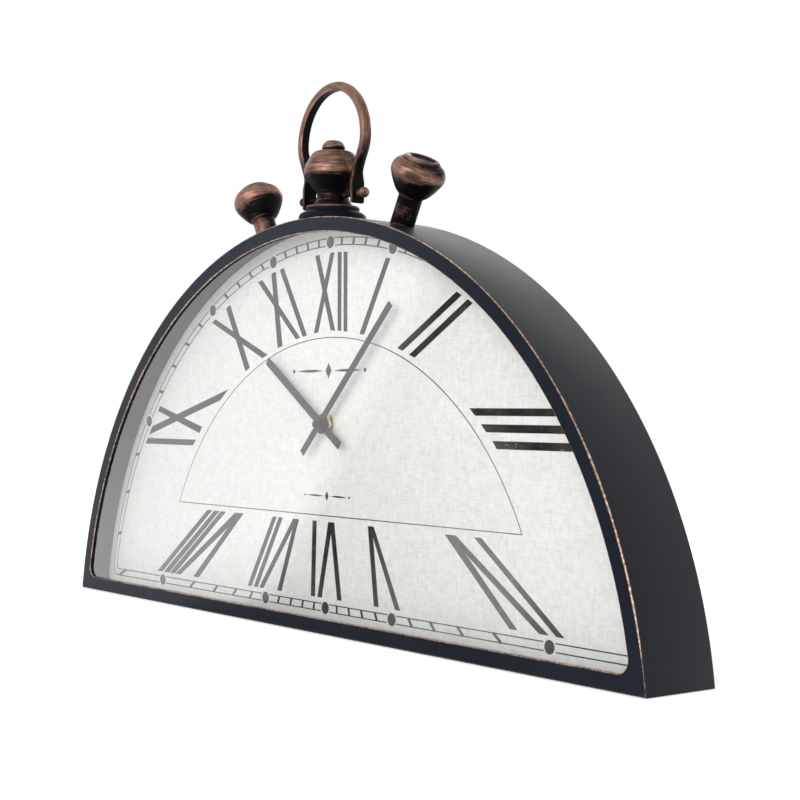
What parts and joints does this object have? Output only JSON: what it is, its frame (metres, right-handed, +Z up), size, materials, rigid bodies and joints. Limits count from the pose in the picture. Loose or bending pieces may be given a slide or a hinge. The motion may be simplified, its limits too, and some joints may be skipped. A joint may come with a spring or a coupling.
{
  "type": "table clock",
  "caption": "Half-round table clock with a steel case, glazed dial, quartz movement, swinging carrying bow on a turned crown and two ornamental buttons.",
  "frame": {"origin": "middle of the base, on the surface that the clock stands on, halfway through its depth", "axes": "+X to the right of someone reading the dial, the dial faces -Y, +Z up"},
  "size_m": [0.48, 0.042, 0.2853],
  "materials": {
    "case_black": "satin charcoal paint with rubbed copper edges",
    "zinc_plate": "zinc plated",
    "glass": "clear float glass",
    "lining": "matt dark grey strip",
    "dial_paper": "printed aged off-white paper",
    "fibreboard": "plain fibreboard",
    "antique_bronze": "antique bronze, black with rubbed copper",
    "dark_bronze": "blackened bronze",
    "hand_black": "black anodised",
    "brass": "plain brass",
    "rubber": "matt",
    "black_plastic": "moulded, fine spark texture",
    "white_plastic": "natural acetal",
    "magnet": "sintered magnet",
    "copper_wire": "enamelled copper wire",
    "circuit_board": "solder mask",
    "battery_cell": "plain wrapped cell, no label"
  },
  "bodies": {
    "case": {"case_band": "case_black", "base_plate": "case_black", "front_bezel": "case_black", "rear_frame": "case_black", "back_panel": "case_black", "back_screw_1": "zinc_plate", "back_screw_2": "zinc_plate", "back_screw_3": "zinc_plate", "back_screw_4": "zinc_plate", "dial_clip_1": "zinc_plate", "dial_clip_2": "zinc_plate", "dial_clip_3": "zinc_plate", "dial_clip_4": "zinc_plate", "glass_pane": "glass", "dial_spacer": "lining", "dial_paper": "dial_paper", "dial_board": "fibreboard", "crown_flange": "dark_bronze", "crown_knob": "antique_bronze", "crown_retainer": "zinc_plate", "bow_pin": "antique_bronze", "bow_pin_nut": "antique_bronze", "left_button_stem": "antique_bronze", "left_button_head": "antique_bronze", "left_button_retainer": "zinc_plate", "right_button_stem": "antique_bronze", "right_button_head": "antique_bronze", "right_button_retainer": "zinc_plate", "centre_bush": "brass", "hex_nut": "brass", "dial_washer": "brass", "rubber_washer": "rubber", "movement_case": "black_plastic", "movement_cover": "black_plastic", "movement_plate": "brass", "stator": "zinc_plate", "coil": "copper_wire", "circuit_board": "circuit_board", "quartz_crystal": "zinc_plate", "contact_positive": "brass", "contact_negative": "brass"},
    "bow": {"bow": "antique_bronze"},
    "minute_hand": {"minute_arbor": "zinc_plate", "minute_hand": "hand_black", "cap_nut": "hand_black"},
    "hour_hand": {"hour_wheel": "brass", "hour_hand": "hand_black"},
    "intermediate_wheel": {"intermediate_wheel": "white_plastic"},
    "setting_knob": {"setting_wheel": "white_plastic", "setting_knob": "white_plastic"},
    "rotor": {"rotor": "magnet"},
    "fifth_wheel": {"fifth_wheel": "white_plastic"},
    "second_wheel": {"second_wheel": "white_plastic"},
    "third_wheel": {"third_wheel": "white_plastic"},
    "centre_wheel": {"centre_wheel": "white_plastic"},
    "battery": {"battery": "battery_cell"}
  },
  "joints": [
    {"name": "bow_swing", "type": "hinge", "parent": "case", "child": "bow", "pos_m": [0, -0.003, 0.2248], "axis": [1, 0, 0], "range_deg": [-100, 100]},
    {"name": "minute_hand_turn", "type": "hinge", "parent": "case", "child": "minute_hand", "pos_m": [0, 0, 0.106], "axis": [0, 1, 0], "continuous": true},
    {"name": "intermediate_turn", "type": "hinge", "parent": "case", "child": "intermediate_wheel", "pos_m": [0.008, 0, 0.106], "axis": [0, 1, 0], "continuous": true},
    {"name": "hour_hand_turn", "type": "hinge", "parent": "case", "child": "hour_hand", "pos_m": [0, 0, 0.106], "axis": [0, 1, 0], "continuous": true},
    {"name": "setting_turn", "type": "hinge", "parent": "case", "child": "setting_knob", "pos_m": [0.01335, 0, 0.10005], "axis": [0, 1, 0], "continuous": true},
    {"name": "rotor_turn", "type": "hinge", "parent": "case", "child": "rotor", "pos_m": [-0.0125, 0, 0.10341], "axis": [0, 1, 0], "continuous": true},
    {"name": "fifth_turn", "type": "hinge", "parent": "case", "child": "fifth_wheel", "pos_m": [-0.0071, 0, 0.10341], "axis": [0, 1, 0], "continuous": true},
    {"name": "second_turn", "type": "hinge", "parent": "case", "child": "second_wheel", "pos_m": [0, 0, 0.106], "axis": [0, 1, 0], "continuous": true},
    {"name": "third_turn", "type": "hinge", "parent": "case", "child": "third_wheel", "pos_m": [-0.00378, 0, 0.11255], "axis": [0, 1, 0], "continuous": true},
    {"name": "centre_turn", "type": "hinge", "parent": "case", "child": "centre_wheel", "pos_m": [0, 0, 0.106], "axis": [0, 1, 0], "continuous": true},
    {"name": "battery_out", "type": "slide", "parent": "case", "child": "battery", "axis": [0, 1, 0], "range_m": [0, 0.04]}
  ],
  "couplings": [
    {"joint": "intermediate_turn", "follows": "minute_hand_turn", "ratio": -0.33333},
    {"joint": "hour_hand_turn", "follows": "minute_hand_turn", "ratio": 0.083333},
    {"joint": "setting_turn", "follows": "minute_hand_turn", "ratio": 1},
    {"joint": "fifth_turn", "follows": "rotor_turn", "ratio": -0.2},
    {"joint": "second_turn", "follows": "rotor_turn", "ratio": 0.033333},
    {"joint": "third_turn", "follows": "rotor_turn", "ratio": -0.0044444},
    {"joint": "centre_turn", "follows": "rotor_turn", "ratio": 0.00055556}
  ]
}
